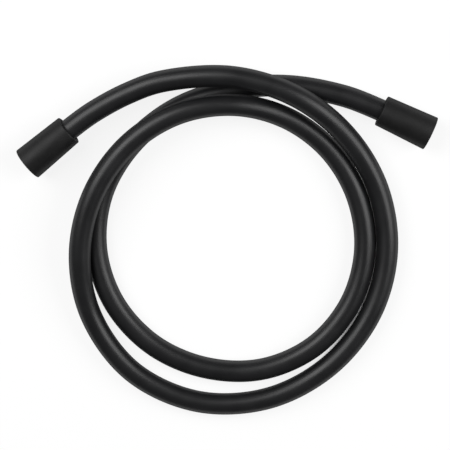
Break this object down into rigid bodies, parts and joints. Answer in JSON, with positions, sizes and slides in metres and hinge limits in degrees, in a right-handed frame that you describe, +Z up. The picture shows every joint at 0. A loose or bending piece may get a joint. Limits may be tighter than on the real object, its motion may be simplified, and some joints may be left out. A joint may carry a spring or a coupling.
{
  "type": "shower hose",
  "caption": "Smooth flexible shower hose lying in a loose coil, with a free-turning conical coupling nut, crimped hose tail and sealing washer at each end.",
  "frame": {"origin": "centre of the bounding box in plan, on the surface that the hose lies on", "axes": "+Z up from that surface, +X from the inlet nut's side to the outlet nut's side, both nuts towards +Y"},
  "size_m": [0.2929, 0.2494, 0.0312],
  "materials": {
    "hose_pvc": "satin smooth plasticised PVC",
    "nut_black": "matt black lacquer",
    "insert_brass": "machined",
    "ferrule_steel": "drawn and crimped",
    "washer_rubber": "matt",
    "slip_ring_plastic": "moulded"
  },
  "bodies": {
    "hose": {"hose": "hose_pvc", "inlet_insert": "insert_brass", "inlet_ferrule": "ferrule_steel", "outlet_insert": "insert_brass", "outlet_ferrule": "ferrule_steel"},
    "inlet_nut": {"inlet_nut": "nut_black", "inlet_washer": "washer_rubber", "inlet_slip_ring": "slip_ring_plastic"},
    "outlet_nut": {"outlet_nut": "nut_black", "outlet_washer": "washer_rubber", "outlet_slip_ring": "slip_ring_plastic"}
  },
  "joints": [
    {"name": "inlet_swivel", "type": "hinge", "parent": "hose", "child": "inlet_nut", "pos_m": [-0.12465, 0.06716, 0.01275], "axis": [-0.77, -0.637, -0.0349], "continuous": true},
    {"name": "outlet_swivel", "type": "hinge", "parent": "hose", "child": "outlet_nut", "pos_m": [0.12422, 0.08442, 0.01152], "axis": [0.9059, -0.4224, 0.0304], "continuous": true}
  ]
}
